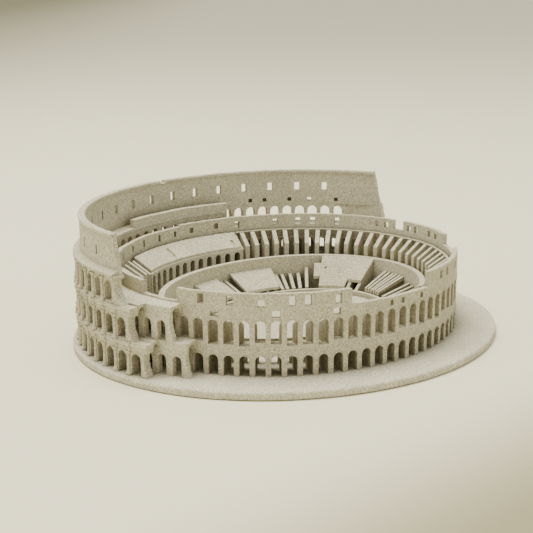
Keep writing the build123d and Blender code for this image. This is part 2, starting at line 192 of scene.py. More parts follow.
def add_lights():
    world = bpy.data.worlds.new("studio")
    bpy.context.scene.world = world
    world.use_nodes = True
    background = world.node_tree.nodes["Background"]
    background.inputs["Color"].default_value = SKY_COLOUR
    background.inputs["Strength"].default_value = SKY_STRENGTH
    area_light("overhead", LAMP_PLACE, LAMP_AIM, LAMP_SIZE, LAMP_POWER, LAMP_COLOUR)


add_camera()
add_floor()
add_lights()


# ---------------------------------------------------------------- stone
CAVITY_REACH, CAVITY_SAMPLES = 0.009, 6     # metres that enclosure is felt over
# painted shade: multiples of the stone's colour where it is enclosed, standing for the shade in hollows
# and arches
PAINTED_SHADE_TINT = (0.32, 0.29, 0.21)
DEEP_PAINTED_SHADE_TINT = (0.20, 0.18, 0.12)       # in the outer walls' arches
MILD_PAINTED_SHADE_TINT = (0.60, 0.56, 0.46)       # among the radial walls, which are open to the sky
# each size of grain: scale, detail, darkest and lightest multiple of the colour
FINE_GRAIN, COARSE_GRAIN, PATCHES = (2400, 2, 0.50, 1.45), (850, 3, 0.78, 1.18), (90, 3, 0.93, 1.05)
BUMP_STRENGTH, BUMP_HEIGHT = 0.8, 0.0002


def stone_material(name, tone, shade_tint):
    """Sandy stone: three sizes of grain in colour and relief, and painted shade where it is enclosed."""
    material = bpy.data.materials.new(name)
    material.use_nodes = True
    nodes, links = material.node_tree.nodes, material.node_tree.links
    shader = nodes["Principled BSDF"]
    shader.inputs["Roughness"].default_value = 0.94
    shader.inputs["Specular IOR Level"].default_value = 0.15
    place = nodes.new("ShaderNodeTexCoord")

    def grain(scale, detail, low, high):
        texture = nodes.new("ShaderNodeTexNoise")
        texture.inputs["Scale"].default_value = scale
        texture.inputs["Detail"].default_value = detail
        texture.inputs["Roughness"].default_value = 0.65
        spread = nodes.new("ShaderNodeMapRange")
        spread.inputs["From Min"].default_value = 0.3
        spread.inputs["From Max"].default_value = 0.7
        spread.inputs["To Min"].default_value = low
        spread.inputs["To Max"].default_value = high
        links.new(place.outputs["Object"], texture.inputs["Vector"])
        links.new(texture.outputs["Fac"], spread.inputs["Value"])
        return texture.outputs["Fac"], spread.outputs["Result"]

    def multiply(first, second):
        product = nodes.new("ShaderNodeMath")
        product.operation = "MULTIPLY"
        links.new(first, product.inputs[0])
        links.new(second, product.inputs[1])
        return product.outputs[0]

    fine_height, fine = grain(*FINE_GRAIN)
    coarse_height, coarse = grain(*COARSE_GRAIN)
    patches = grain(*PATCHES)[1]
    # painted shade: the colour is darkened where ambient occlusion finds the stone enclosed
    enclosed = nodes.new("ShaderNodeAmbientOcclusion")
    enclosed.inputs["Distance"].default_value = CAVITY_REACH
    enclosed.samples = CAVITY_SAMPLES
    cavity = nodes.new("ShaderNodeMapRange")
    cavity.inputs["From Min"].default_value = 0.05
    cavity.inputs["From Max"].default_value = 0.75
    links.new(enclosed.outputs["AO"], cavity.inputs["Value"])
    shaded_tone = nodes.new("ShaderNodeMix")
    shaded_tone.data_type = "RGBA"
    shaded_tone.inputs[6].default_value = (*(part * shade for part, shade in zip(tone, shade_tint)), 1)
    shaded_tone.inputs[7].default_value = (*tone, 1)
    links.new(cavity.outputs["Result"], shaded_tone.inputs["Factor"])
    tint = nodes.new("ShaderNodeMix")
    tint.data_type = "RGBA"
    tint.blend_type = "MULTIPLY"
    tint.inputs["Factor"].default_value = 1.0
    links.new(shaded_tone.outputs[2], tint.inputs[6])
    links.new(multiply(multiply(fine, coarse), patches), tint.inputs[7])
    links.new(tint.outputs[2], shader.inputs["Base Color"])

    relief = nodes.new("ShaderNodeMath")
    relief.operation = "ADD"
    links.new(fine_height, relief.inputs[0])
    links.new(coarse_height, relief.inputs[1])
    bump = nodes.new("ShaderNodeBump")
    bump.inputs["Strength"].default_value = BUMP_STRENGTH
    bump.inputs["Distance"].default_value = BUMP_HEIGHT
    links.new(relief.outputs[0], bump.inputs["Height"])
    links.new(bump.outputs["Normal"], shader.inputs["Normal"])
    return material


STONE_LOOKS = {
    # slot: tone, and its painted shade where it is enclosed
    "base_stone": ((0.64, 0.60, 0.45), PAINTED_SHADE_TINT),
    "outer_wall_stone": ((0.55, 0.51, 0.365), DEEP_PAINTED_SHADE_TINT),
    "facade_stone": ((0.54, 0.50, 0.355), PAINTED_SHADE_TINT),
    "inner_stone": ((0.59, 0.55, 0.40), MILD_PAINTED_SHADE_TINT),
    "arena_stone": ((0.56, 0.52, 0.38), PAINTED_SHADE_TINT)}
STONE = {slot: stone_material(slot, tone, tint) for slot, (tone, tint) in STONE_LOOKS.items()}
SLOT_OF_NODE = {row["node"]: row["material_slot"] for row in frame["record"]["subparts"]}


# ---------------------------------------------------------------- the oval's bays
ARC_STEPS = 2880


@lru_cache(maxsize=None)
def facade_lengths():
    """Running arc length round the facade ring, from +X anticlockwise."""
    a, b = FACADE
    angles = [tau * n / ARC_STEPS for n in range(ARC_STEPS + 1)]
    points = [(a * cos(angle), b * sin(angle)) for angle in angles]
    lengths = [0.0]
    for (x0, y0), (x1, y1) in zip(points, points[1:]):
        lengths.append(lengths[-1] + hypot(x1 - x0, y1 - y0))
    return lengths


@lru_cache(maxsize=None)
def bay_line(bay):
    """A point of the facade ring and the outward direction of the bay there."""
    lengths = facade_lengths()
    target = (bay / BAYS % 1.0) * lengths[-1]
    step = bisect_right(lengths, target)
    before, after = lengths[step - 1], lengths[step]
    angle = tau * (step - 1 + (target - before) / (after - before)) / ARC_STEPS
    a, b = FACADE
    return Vector((a * cos(angle), b * sin(angle))), Vector((cos(angle) / a, sin(angle) / b)).normalized()


@lru_cache(maxsize=None)
def spot(bay, ring, out=0.0):
    """Where the bay line crosses an ellipse, moved outwards by out."""
    point, normal = bay_line(bay)
    a, b = ring[:2]
    local = point - Vector(ring[2:]) if ring[2:] else point
    qa = (normal.x / a) ** 2 + (normal.y / b) ** 2
    qb = 2 * (local.x * normal.x / a**2 + local.y * normal.y / b**2)
    qc = (local.x / a) ** 2 + (local.y / b) ** 2 - 1
    return point + normal * ((-qb + sqrt(qb**2 - 4 * qa * qc)) / (2 * qa) + out)


def place(bay, height, ring, out=0.0):
    x, y = spot(bay, ring, out)
    return Vector((x, y, height)) * MM


@lru_cache(maxsize=None)
def bay_length(bay, ring):
    return (spot(bay + 0.5, ring) - spot(bay - 0.5, ring)).length


def wander(bay, seed, size, pace=1.3):
    """Smooth unevenness along a wall, the same on every run."""
    return size * noise.noise(Vector((bay * pace, seed * 7.31, 0.5)))


def spread(start, end, step=0.5):
    """Bay positions from start to end, about step apart."""
    count = max(1, round((end - start) / step))
    return [start + (end - start) * n / count for n in range(count + 1)]


# ---------------------------------------------------------------- meshes
COLUMN_SLACK, HOLE_SLACK = 1e-6, 1e-4       # bays, so that rounding loses no column
MERGE_DISTANCE, LEAST_EDGE = 0.000004, 0.000001            # metres
WORN_ANGLE = radians(32)                    # edges sharper than this are rounded


def add_sheet(bm, grid, outer, inner, out=0.0, inset=0.0, solid=lambda column, row: True):
    """Wrap a flat grid of (bay, height) points into a thick wall; solid() says which cells are stone."""
    front = [[bm.verts.new(place(bay, height, outer, out)) for bay, height in column] for column in grid]
    back = [[bm.verts.new(place(bay, height, inner, inset)) for bay, height in column] for column in grid]
    cells = {(c, r) for c in range(len(grid) - 1) for r in range(len(grid[0]) - 1) if solid(c, r)}
    for c, r in cells:
        ring = [(c, r), (c + 1, r), (c + 1, r + 1), (c, r + 1)]
        neighbours = [(c, r - 1), (c + 1, r), (c, r + 1), (c - 1, r)]
        bm.faces.new([front[i][j] for i, j in ring])
        bm.faces.new([back[i][j] for i, j in reversed(ring)])
        for side, neighbour in enumerate(neighbours):
            if neighbour in cells:
                continue
            (i, j), (k, m) = ring[side], ring[(side + 1) % 4]
            bm.faces.new([front[i][j], back[i][j], back[k][m], front[k][m]])


Opening = namedtuple("Opening", "bay half sill spring round")


def arch(bay, width, sill, crown):
    return Opening(bay, width / 2, sill, crown - width / 2, True)


def window(bay, width, sill, head):
    return Opening(bay, width / 2, sill, head, False)


def opening_sides(opening, ring):
    half = opening.half / bay_length(opening.bay, ring)
    return opening.bay - half, opening.bay + half


def opening_columns(opening, ring):
    """Bay positions across an opening, closer together where its arch is steep."""
    steps = ARCH_STEPS if opening.round else 1
    half = opening.half / bay_length(opening.bay, ring)
    return [opening.bay - half * cos(pi * n / steps) for n in range(steps + 1)]


def opening_head(opening, bay, ring):
    if not opening.round:
        return opening.spring
    offset = (bay - opening.bay) * bay_length(opening.bay, ring)
    return opening.spring + sqrt(max(0.0, opening.half**2 - offset**2))


def add_wall(bm, edges, bottom, top, courses, outer, inner, inset=0.0, out=0.0):
    """A wall with rows of openings: courses lists them bottom up, and top(bay) is its upper edge."""
    courses = [course for course in courses if course]
    columns = {round(edge, 5) for edge in edges}
    for course in courses:
        for opening in course:
            columns.update(round(bay, 5) for bay in opening_columns(opening, outer))
    first, last = edges[0] - COLUMN_SLACK, edges[-1] + COLUMN_SLACK
    columns = sorted(bay for bay in columns if first <= bay <= last)
    holes = [[(*opening_sides(opening, outer), opening) for opening in course] for course in courses]
    grid = []
    for bay in columns:
        heights = [bottom]
        for course in holes:
            left, right, nearest = min(course, key=lambda hole: abs(hole[2].bay - bay))
            inside = left - HOLE_SLACK <= bay <= right + HOLE_SLACK
            crown = nearest.spring + (nearest.half if nearest.round else 0.0)
            head = opening_head(nearest, bay, outer) if inside else crown
            heights += [nearest.sill, nearest.spring, head]
        heights.append(top(bay))
        grid.append([(bay, height) for height in heights])

    def solid(c, r):
        """A course takes three rows of cells; the first is the stone below its sills, if any."""
        middle = (columns[c] + columns[c + 1]) / 2
        course = max(0, r - 1) // 3
        threshold = r == 0 and grid[c][0][1] == grid[c][1][1]
        if course >= len(holes) or (r % 3 == 0 and not threshold):
            return True
        return not any(left < middle < right for left, right, _ in holes[course])

    add_sheet(bm, grid, outer, inner, out, inset, solid)


def add_block(bm, start, end, bottom, top, ring, out, depth=0.5):
    """A plain block on a wall's face, standing out from it and sunk into it by depth."""
    corners = [[(start, bottom), (start, top)], [(end, bottom), (end, top)]]
    add_sheet(bm, corners, ring, ring, out, -depth)


def add_archivolt(bm, opening, ring, width, out, depth=0.3):
    """The raised moulding round an arch's head, following its curve."""
    rims = []
    for n in range(ARCH_STEPS + 1):
        angle = pi * n / ARCH_STEPS
        column = []
        for radius in (opening.half, opening.half + width):
            bay = opening.bay - radius * cos(angle) / bay_length(opening.bay, ring)
            column.append((bay, opening.spring + radius * sin(angle)))
        rims.append(column)
    add_sheet(bm, rims, ring, ring, out, -depth)


def add_imposts(bm, openings, ring, width, out, height=0.55, lap=0.01):
    """Small mouldings on the jambs, where the arches spring."""
    for opening in openings:
        left, right = opening_sides(opening, ring)
        reach = width / bay_length(opening.bay, ring)
        low = opening.spring - height / 2
        add_block(bm, left - reach, left + lap, low, low + height, ring, out)
        add_block(bm, right - lap, right + reach, low, low + height, ring, out)


def add_sweep(bm, bays, section):
    """A course along the walls: section(bay) is the list of its points, each (ring, out, height)."""
    loops = []
    for bay in bays:
        loops.append([bm.verts.new(place(bay, height, ring, out)) for ring, out, height in section(bay)])
    count = len(loops[0])
    for here, there in zip(loops, loops[1:]):
        for k in range(count):
            bm.faces.new([here[k], there[k], there[(k + 1) % count], here[(k + 1) % count]])
    bm.faces.new(loops[0])
    bm.faces.new(list(reversed(loops[-1])))


def add_stack(bm, loops):
    """Faces round a stack of equal rings of vertices, and at its foot and its head."""
    count = len(loops[0])
    for low, high in zip(loops, loops[1:]):
        for n in range(count):
            bm.faces.new([low[n], low[(n + 1) % count], high[(n + 1) % count], high[n]])
    bm.faces.new(list(reversed(loops[0])))
    bm.faces.new(loops[-1])


def add_shaft(bm, bay, ring, profile, segments=12):
    """An upright turned piece centred on a wall's face, from its (radius, height) profile."""
    x, y = spot(bay, ring)
    turn = [tau * n / segments for n in range(segments)]
    loops = []
    for radius, height in profile:
        points = [Vector((x + radius * cos(a), y + radius * sin(a), height)) * MM for a in turn]
        loops.append([bm.verts.new(point) for point in points])
    add_stack(bm, loops)


def finish_piece(name, bm, nodes, slot=None, wear=EDGE_WEAR):
    """Turn a mesh into a piece on the model: worn edges, stone, and the nodes that it stands for."""
    bmesh.ops.remove_doubles(bm, verts=bm.verts, dist=MERGE_DISTANCE)
    bmesh.ops.dissolve_degenerate(bm, edges=bm.edges, dist=LEAST_EDGE)
    loose = [vertex for vertex in bm.verts if not vertex.link_faces]
    bmesh.ops.delete(bm, geom=loose, context="VERTS")
    bmesh.ops.recalc_face_normals(bm, faces=bm.faces)
    mesh = bpy.data.meshes.new(name)
    bm.to_mesh(mesh)
    bm.free()
    piece = bpy.data.objects.new(name, mesh)
    bpy.context.scene.collection.objects.link(piece)
    slot = slot or SLOT_OF_NODE[nodes[0]]
    mesh.materials.append(STONE[slot])
    soften(piece, wear)
    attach(piece, "root")
    if nodes:
        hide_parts(*nodes)


def soften(piece, wear):
    bevel = piece.modifiers.new("worn_edges", "BEVEL")
    bevel.width = wear * MM
    bevel.segments = 2
    bevel.limit_method = "ANGLE"
    bevel.angle_limit = WORN_ANGLE


# ---------------------------------------------------------------- base plate
PLATE_EDGE = [(-0.6, 0.0), (-0.15, 0.12), (0.0, 0.5),      # each (outwards, height)
              (0.0, PLATE_T - 0.75), (-0.2, PLATE_T - 0.25), (-0.75, PLATE_T)]


def build_plate(segments=240):
    bm = bmesh.new()
    loops = []
    for outward, height in PLATE_EDGE:
        loop = []
        for n in range(segments):
            angle = tau * n / segments
            uneven = 0.1 * noise.noise(Vector((cos(angle) * 6, sin(angle) * 6, height * 0.3)))
            x = (PLATE[0] + outward + uneven) * cos(angle)
            y = (PLATE[1] + outward + uneven) * sin(angle)
            loop.append(bm.verts.new(Vector((x, y, height)) * MM))
        loops.append(loop)
    add_stack(bm, loops)
    finish_piece("plate", bm, ["base_plate"], wear=0.2)


build_plate()


# ---------------------------------------------------------------- tall outer wall
STOREYS = {
    # storey: foot, head, arch sill, arch crown
    "ground": (PLATE_T, GROUND_TOP - BAND_H, PLATE_T, 12.3),
    "second": (GROUND_TOP, SECOND_TOP - BAND_H, GROUND_TOP + 0.8, 25.6),
    "third": (SECOND_TOP, THIRD_TOP - THIRD_BAND_H, SECOND_TOP + 0.8, 38.8)}
OUTER_ARCH_W = 4.8
ARCHIVOLT_W, ARCHIVOLT_OUT, IMPOST_OUT = 0.35, 0.14, 0.3
COLUMN_CHIPPING = 0.22          # share of a column's radius
PIER_WAIST = 0.12               # bays that a broken pier's waist is short of its head
WAIST_SHARE, FLARE_SHARE = 0.65, 0.7        # of a stump's height
CROSS_SHARES = (0.0, 0.5, 1.0)  # columns of points across a stump


def column_profile(foot, head):
    """Plinth, base mouldings, tapering shaft and spreading capital of an engaged column."""
    return [(1.45, foot), (1.45, foot + 1.0), (1.05, foot + 1.15), (1.1, foot + 1.5), (0.85, foot + 1.8),
            (0.82, (foot + head) / 2), (0.74, head - 2.1), (1.0, head - 1.9), (0.8, head - 1.6),
            (1.05, head - 0.9), (1.4, head - 0.5), (1.4, head)]


def add_broken_end(bm, start, waist, foot, bottom, top, outer, inner, seed, flare=0.08):
    """A wall's ragged stump: wide at the foot, narrow at two thirds, flaring where a vault sprang."""
    rows = spread(bottom, top, 0.8)
    ends = []
    for height in rows:
        t = (height - bottom) / (top - bottom)
        low = (foot - waist) * max(0.0, 1 - t / WAIST_SHARE) ** 1.4
        high = flare * max(0.0, (t - FLARE_SHARE) / (1 - FLARE_SHARE)) ** 2
        ends.append(waist + low + high + 0.06 * noise.noise(Vector((height * 0.9, seed, 2.5))))
    grid = []
    for share in CROSS_SHARES:
        grid.append([(start + (end - start) * share, height) for end, height in zip(ends, rows)])
    add_sheet(bm, grid, outer, inner)


def storey_bays(storey):
    """Bays of a storey's arches; the third storey starts blind, with a stretch set closer together."""
    count = floor((WEST_ENDS[storey] - FIRST_ARCH) / ARCH_PITCH) + 1
    bays = [FIRST_ARCH + ARCH_PITCH * n for n in range(count)]
    if storey != "third":
        return bays
    crowded = [CROWDED_FIRST + CROWDED_PITCH * n for n in range(CROWDED_COUNT)]
    return crowded + [bay for bay in bays if bay > crowded[-1] + 1]


def columns_between(bays):
    return [(east + west) / 2 for east, west in zip(bays, bays[1:])]


def build_outer_storey(storey):
    foot, head, sill, crown = STOREYS[storey]
    west = WEST_ENDS[storey]
    bays = storey_bays(storey)
    openings = [arch(bay, OUTER_ARCH_W, sill, crown) for bay in bays]
    bm = bmesh.new()
    add_wall(bm, spread(EAST_END, west, 1.0), foot, lambda bay: head, [openings], OUTER, OUTER_IN)
    for opening in openings:
        add_archivolt(bm, opening, OUTER, ARCHIVOLT_W, ARCHIVOLT_OUT)
    add_imposts(bm, openings, OUTER, ARCHIVOLT_W, IMPOST_OUT)
    finish_piece(f"arcade_outer_{storey}", bm, [f"outer_wall_{storey}"])

    bm = bmesh.new()
    for bay in columns_between(bays):
        chipped = []
        for radius, height in column_profile(foot, head):
            chip = COLUMN_CHIPPING * noise.noise(Vector((bay, height, 1)))
            chipped.append((radius * (1 + chip), height))
        add_shaft(bm, bay, OUTER, chipped)
    finish_piece(f"columns_{storey}", bm, [], slot="outer_wall_stone", wear=0.08)

    bm = bmesh.new()
    waist = PIER_HEADS[storey] - PIER_WAIST
    add_broken_end(bm, west, waist, PIER_FEET[storey], foot, head, OUTER, OUTER_IN, seed=foot)
    finish_piece(f"broken_pier_{storey}", bm, [f"west_pier_{storey}"], wear=0.06)


BREAK_HALF, BREAK_RETURN = 0.19, 0.02       # bays of a forward break over a column
BREAK_OUT, BETWEEN_COLUMNS = 0.55, 0.44


def build_entablature(storey, level, band):
    """Architrave, frieze and cornice, breaking forward over each column."""
    west = PIER_HEADS[storey] + 0.15
    bays = [EAST_END]
    fronts = columns_between(storey_bays(storey))
    beyond = BREAK_HALF + BREAK_RETURN
    for front in fronts:
        offsets = (-beyond, -BREAK_HALF, BREAK_HALF, beyond, BETWEEN_COLUMNS)
        bays += [front + offset for offset in offsets]
    bays = sorted(bay for bay in bays if bay < west - 0.05) + [west]
    low = level - band

    def section(bay):
        beside = min(abs(bay - front) for front in fronts)
        forward = BREAK_OUT if beside < BREAK_HALF + BREAK_RETURN / 2 else 0.0
        chip = abs(wander(bay, level, size=0.9, pace=3.1))
        architrave, frieze, lip = 0.25 + forward, 0.4 + forward, 1.2 + forward - chip
        return [(OUTER_IN, 0.0, low),
                (OUTER, architrave, low), (OUTER, architrave, low + 0.3 * band),
                (OUTER, frieze, low + 0.32 * band), (OUTER, frieze, low + 0.55 * band),
                (OUTER, lip, low + 0.62 * band), (OUTER, lip, low + 0.8 * band),
                (OUTER, lip - 0.5, low + 0.83 * band), (OUTER, lip - 0.6, level),
                (OUTER_IN, 0.0, level)]

    bm = bmesh.new()
    add_sweep(bm, bays, section)
    finish_piece(f"cornice_{storey}", bm, [f"entablature_{storey}"])


ATTIC_WINDOW_BAYS = [7 + 1.92 * n for n in range(16)]
ATTIC_SILL, ATTIC_HEAD = 46.7, 50.7
WIDE_WINDOW, NARROW_WINDOW, NARROW_FROM = 2.6, 1.2, 26     # the windows narrow at that bay
NICHE_BAYS = [6.15, 8.05, 9.45, 11.25, 12.3]
NICHE_W, NICHE_SILL, NICHE_HEAD = 2.0, THIRD_TOP + 0.1, THIRD_TOP + 1.9
OPEN_NICHE = NICHE_BAYS[1]      # light comes through this one, where the ledge is cut away
LEDGE_GAP, LEDGE_RISE, GAP_RISE = 0.2, 1.9, 0.1
COPING_NOTCH, NOTCH_HALF = 19.4, 0.22
EDGE_STEP = 0.01                # bays on either side of a gap's or a notch's edge
ATTIC_WEST = 37.2               # where its sound masonry ends
SPUR_FOOT, SPUR_HEAD = 1.9, 3.44            # bays of its toe and its tip
SPUR_TOP = ATTIC_TOP - 1.5


def sides_of(bay, half):
    """The bays just outside and just inside both edges of a gap."""
    wide, narrow = half + EDGE_STEP, half - EDGE_STEP
    return [bay - wide, bay - narrow, bay + narrow, bay + wide]


def attic_end(height):
    """The broken west end leans back as it rises."""
    t = (height - THIRD_TOP) / (ATTIC_TOP - THIRD_TOP)
    return PIER_HEADS["third"] + 0.05 - 0.5 * t + 0.05 * noise.noise(Vector((height, 6.0, 2.0)))


def build_attic():
    windows = []
    for bay in ATTIC_WINDOW_BAYS:
        width = WIDE_WINDOW if bay < NARROW_FROM else NARROW_WINDOW
        windows.append(window(bay, width, ATTIC_SILL, ATTIC_HEAD))
    niches = [window(bay, NICHE_W, NICHE_SILL, NICHE_HEAD) for bay in NICHE_BAYS]
    top = ATTIC_TOP - COPING_H
    bm = bmesh.new()
    edges = spread(EAST_END, ATTIC_WEST)
    courses = [niches, windows]
    add_wall(bm, edges, THIRD_TOP, lambda bay: top, courses, OUTER, OUTER_IN, out=-ATTIC_SETBACK)
    rows = spread(THIRD_TOP, top, 0.9)
    stump = [[(ATTIC_WEST, height) for height in rows], [(attic_end(height), height) for height in rows]]
    add_sheet(bm, stump, OUTER, OUTER_IN, -ATTIC_SETBACK)
    finish_piece("attic_wall", bm, ["outer_attic"])

    def ledge(bay):
        cut = abs(bay - OPEN_NICHE) < LEDGE_GAP
        out = -ATTIC_SETBACK + 0.1 if cut else 1.35 + wander(bay, 3, size=0.3, pace=2.0)
        rise = GAP_RISE if cut else LEDGE_RISE
        back, low = (OUTER, -ATTIC_SETBACK - 0.2), THIRD_TOP - 0.2
        return [(*back, low), (OUTER, out, low), (OUTER, out, THIRD_TOP + min(0.6, rise / 3)),
                (OUTER, (out - ATTIC_SETBACK) / 2, THIRD_TOP + 0.75 * rise), (*back, THIRD_TOP + rise)]

    bm = bmesh.new()
    gap = sides_of(OPEN_NICHE, LEDGE_GAP)
    add_sweep(bm, sorted({*spread(EAST_END, PIER_HEADS["third"]), *gap}), ledge)
    finish_piece("attic_ledge", bm, [], slot="outer_wall_stone", wear=0.15)

    def coping(bay):
        level = ATTIC_TOP + wander(bay, 5, size=0.16, pace=2.2)
        if abs(bay - COPING_NOTCH) < NOTCH_HALF:
            level -= COPING_H - 0.1
        lip = 0.4 - ATTIC_SETBACK + wander(bay, 8, size=0.22, pace=2.7)
        return [(OUTER_IN, -0.5, top), (OUTER, lip, top), (OUTER, lip, level - 0.3),
                (OUTER, lip - 0.35, level), (OUTER_IN, -0.3, level), (OUTER_IN, -0.5, level - 0.3)]

    notch = sides_of(COPING_NOTCH, NOTCH_HALF)
    bays = sorted({*spread(EAST_END, attic_end(ATTIC_TOP) + 0.05, 0.33), *notch})
    bm = bmesh.new()
    add_sweep(bm, bays, coping)
    finish_piece("coping", bm, ["outer_coping"])


def build_spur():
    """The sloping prop of the east end; beside the attic it is set back with it."""
    bm = bmesh.new()
    for low, high, out in ((PLATE_T, THIRD_TOP, 0.0), (THIRD_TOP, SPUR_TOP, -ATTIC_SETBACK)):
        rows = spread(low, high, 1.2)
        grid = []
        for share in CROSS_SHARES:
            column = []
            for height in rows:
                t = (height - PLATE_T) / (SPUR_TOP - PLATE_T)
                end = SPUR_FOOT + (SPUR_HEAD - SPUR_FOOT) * t + wander(height, 4, size=0.05, pace=0.7)
                column.append((EAST_END + (end - EAST_END) * share, height))
            grid.append(column)
        add_sheet(bm, grid, OUTER, OUTER_IN, out)
    finish_piece("spur", bm, ["east_spur"])


LEVELS = {
    # storey: its top, and the height of its entablature
    "ground": (GROUND_TOP, BAND_H),
    "second": (SECOND_TOP, BAND_H),
    "third": (THIRD_TOP, THIRD_BAND_H)}
for storey, (level, band) in LEVELS.items():
    build_outer_storey(storey)
    build_entablature(storey, level, band)
build_attic()
build_spur()


# ---------------------------------------------------------------- middle wall and walks
ARCH_W = 3.9
MIDDLE_STOREYS = {
    # storey: foot, head, arch crown, both ends
    "ground": (PLATE_T, WALK_GROUND - ROOF_T, 11.6, (EAST_END, MIDDLE_ENDS["ground"])),
    "second": (WALK_GROUND, WALK_SECOND - ROOF_T, 25.1, (EAST_END, MIDDLE_ENDS["second"])),
    "third": (WALK_SECOND, TERRACE - ROOF_T, 36.5, (TERRACE_BAYS[0], TERRACE_BAYS[1] + MIDDLE_SHIFT))}


def build_middle():
    for storey, (bottom, top, crown, (start, end)) in MIDDLE_STOREYS.items():
        bays = range(floor(start + 0.5), floor(end + 0.5))
        openings = [arch(bay + MIDDLE_SHIFT, ARCH_W, bottom, crown) for bay in bays]
        bm = bmesh.new()
        add_wall(bm, spread(start, end, 1.0), bottom, lambda bay: top, [openings], MIDDLE, MIDDLE_IN)
        for opening in openings:
            add_archivolt(bm, opening, MIDDLE, width=0.4, out=0.15)
        add_imposts(bm, openings, MIDDLE, width=0.35, out=0.2)
        finish_piece(f"arcade_middle_{storey}", bm, [f"middle_wall_{storey}"])
    bm = bmesh.new()
    for storey, end in MIDDLE_ENDS.items():
        bottom, top = MIDDLE_STOREYS[storey][:2]
        waist, foot = end + 0.15, end + 0.4
        add_broken_end(bm, end, waist, foot, bottom, top, MIDDLE, MIDDLE_IN, seed=bottom + 3)
    finish_piece("broken_piers_middle", bm, ["middle_piers"])


def build_vault(name, node, end, outer, inner, level, rise, steps=8):
    """The roof of a walk, from the east end: flat on top, a shallow barrel vault below."""
    def section(bay):
        far, near = spot(bay, outer), spot(bay, inner)
        width = (far - near).length
        top = level + wander(bay, level, size=0.15, pace=1.5)
        points = [(outer, 0.0, top)]
        for n in range(steps + 1):
            across = n / steps
            drop = rise * (1 - sqrt(max(0.0, 1 - (2 * across - 1) ** 2)))
            points.append((outer, -width * across, level - ROOF_T - drop))
        points.append((outer, -width, top))
        return points

    bm = bmesh.new()
    add_sweep(bm, spread(EAST_END, end), section)
    finish_piece(name, bm, [node])


def build_terrace():
    def terrace(bay):
        top = TERRACE + wander(bay, 6, size=0.2, pace=1.2)
        low = TERRACE - ROOF_T
        return [(OUTER_IN, 0.1, low), (OUTER_IN, 0.1, top), (MIDDLE_IN, -0.3, top), (MIDDLE_IN, -0.3, low)]

    bm = bmesh.new()
    add_sweep(bm, spread(*TERRACE_BAYS), terrace)
    finish_piece("terrace", bm, ["terrace_roof"])

    def gallery(bay):
        top = GALLERY_TOP + wander(bay, 9, size=0.2, pace=1.0)
        return [(MIDDLE, 0.0, TERRACE), (MIDDLE, 0.0, top), (MIDDLE_IN, -0.2, top),
                (MIDDLE_IN, -0.2, top - 0.7), (MIDDLE_IN, 0.0, top - 0.8), (MIDDLE_IN, 0.0, TERRACE)]

    bm = bmesh.new()
    add_sweep(bm, spread(*GALLERY_BAYS), gallery)
    finish_piece("gallery", bm, ["gallery_wall"])


build_middle()
OUTER_VAULT_RISE, INNER_VAULT_RISE = 2.1, 2.8
WALKS = {"ground": WALK_GROUND, "second": WALK_SECOND}
for storey, level in WALKS.items():
    name, node = f"vault_outer_{storey}", f"outer_walk_roof_{storey}"
    build_vault(name, node, PIER_FEET[storey], OUTER_IN, MIDDLE, level, OUTER_VAULT_RISE)
    name, node = f"vault_inner_{storey}", f"inner_walk_roof_{storey}"
    build_vault(name, node, MIDDLE_ENDS[storey] + 0.25, MIDDLE, FACADE, level, INNER_VAULT_RISE)
build_terrace()


# ---------------------------------------------------------------- inner facade ring
QUARTERS = {"north": (8.5, 27.5), "west": (27.5, 46.5), "south": (46.5, 65.5), "east": (65.5, 84.5)}
GROUND_CROWN, SECOND_CROWN = 11.6, 25.6
SILLS = (15.4, 15.6, 16.9, 15.9, 16.4)      # of the second row, broken off unevenly


def second_arch(bay):
    crown = SECOND_CROWN + 0.3 * noise.noise(Vector((bay * 1.7, 0, 0)))
    return arch(bay, ARCH_W + 0.2, SILLS[bay * 7 % len(SILLS)], crown)


def build_facade(side, start, end):
    bays = range(floor(start + 0.5), floor(end + 0.5))
    edges = spread(start, end, 1.0)
    ground = [arch(bay, ARCH_W + 0.1, PLATE_T, GROUND_CROWN) for bay in bays]
    bm = bmesh.new()
    add_wall(bm, edges, PLATE_T, lambda bay: FACADE_FLOOR, [ground], FACADE, FACADE_IN)
    for opening in ground:
        add_archivolt(bm, opening, FACADE, width=0.5, out=0.22)
    finish_piece(f"arcade_facade_ground_{side}", bm, [f"facade_ground_{side}"])

    second = [second_arch(bay) for bay in bays]
    bm = bmesh.new()
    add_wall(bm, edges, FACADE_FLOOR, lambda bay: FACADE_HEAD, [second], FACADE, FACADE_IN)
    for opening in second:
        add_archivolt(bm, opening, FACADE, width=0.4, out=0.16)
    finish_piece(f"arcade_facade_second_{side}", bm, [f"facade_second_{side}"])


